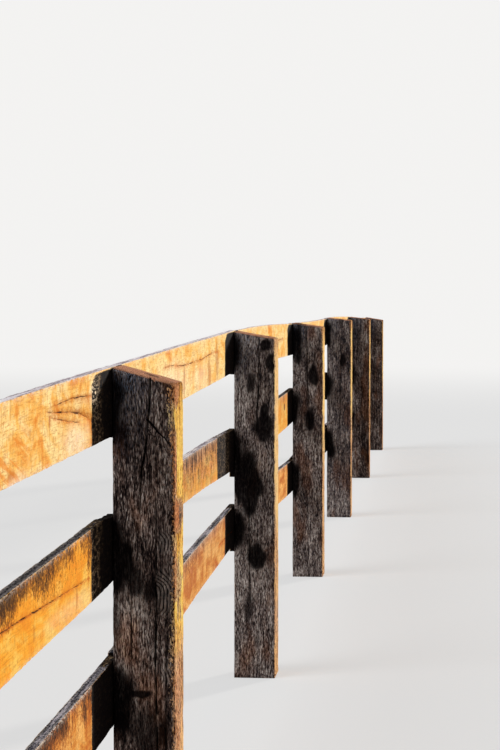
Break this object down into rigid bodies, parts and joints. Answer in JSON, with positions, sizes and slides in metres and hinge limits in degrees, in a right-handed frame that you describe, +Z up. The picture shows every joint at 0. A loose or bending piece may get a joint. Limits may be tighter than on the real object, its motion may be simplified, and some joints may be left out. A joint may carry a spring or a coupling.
{
  "type": "post and rail fence",
  "caption": "Weathered rough-sawn timber post and rail fence: square posts with sloping worn tops and three flat sawn rails in each bay, butted end to end behind each post.",
  "frame": {"origin": "centre of the bottom face of the middle post, at ground level", "axes": "+X runs along the fence, away from the viewer of the picture; +Y points to the side that the rails are fixed on; +Z is up"},
  "size_m": [14.78, 0.1726, 1.178],
  "materials": {
    "post_timber": "rough-sawn softwood, weathered to a dark grey brown with black blotches and open drying checks",
    "rail_timber": "rough-sawn softwood, weathered honey brown with grey upper edges, knots and splits"
  },
  "bodies": {
    "root": {"post_1": "post_timber", "post_2": "post_timber", "post_3": "post_timber", "post_4": "post_timber", "post_5": "post_timber", "post_6": "post_timber", "post_7": "post_timber", "top_rail_1": "rail_timber", "top_rail_2": "rail_timber", "top_rail_3": "rail_timber", "top_rail_4": "rail_timber", "top_rail_5": "rail_timber", "top_rail_6": "rail_timber", "middle_rail_1": "rail_timber", "middle_rail_2": "rail_timber", "middle_rail_3": "rail_timber", "middle_rail_4": "rail_timber", "middle_rail_5": "rail_timber", "middle_rail_6": "rail_timber", "bottom_rail_1": "rail_timber", "bottom_rail_2": "rail_timber", "bottom_rail_3": "rail_timber", "bottom_rail_4": "rail_timber", "bottom_rail_5": "rail_timber", "bottom_rail_6": "rail_timber"}
  },
  "joints": []
}
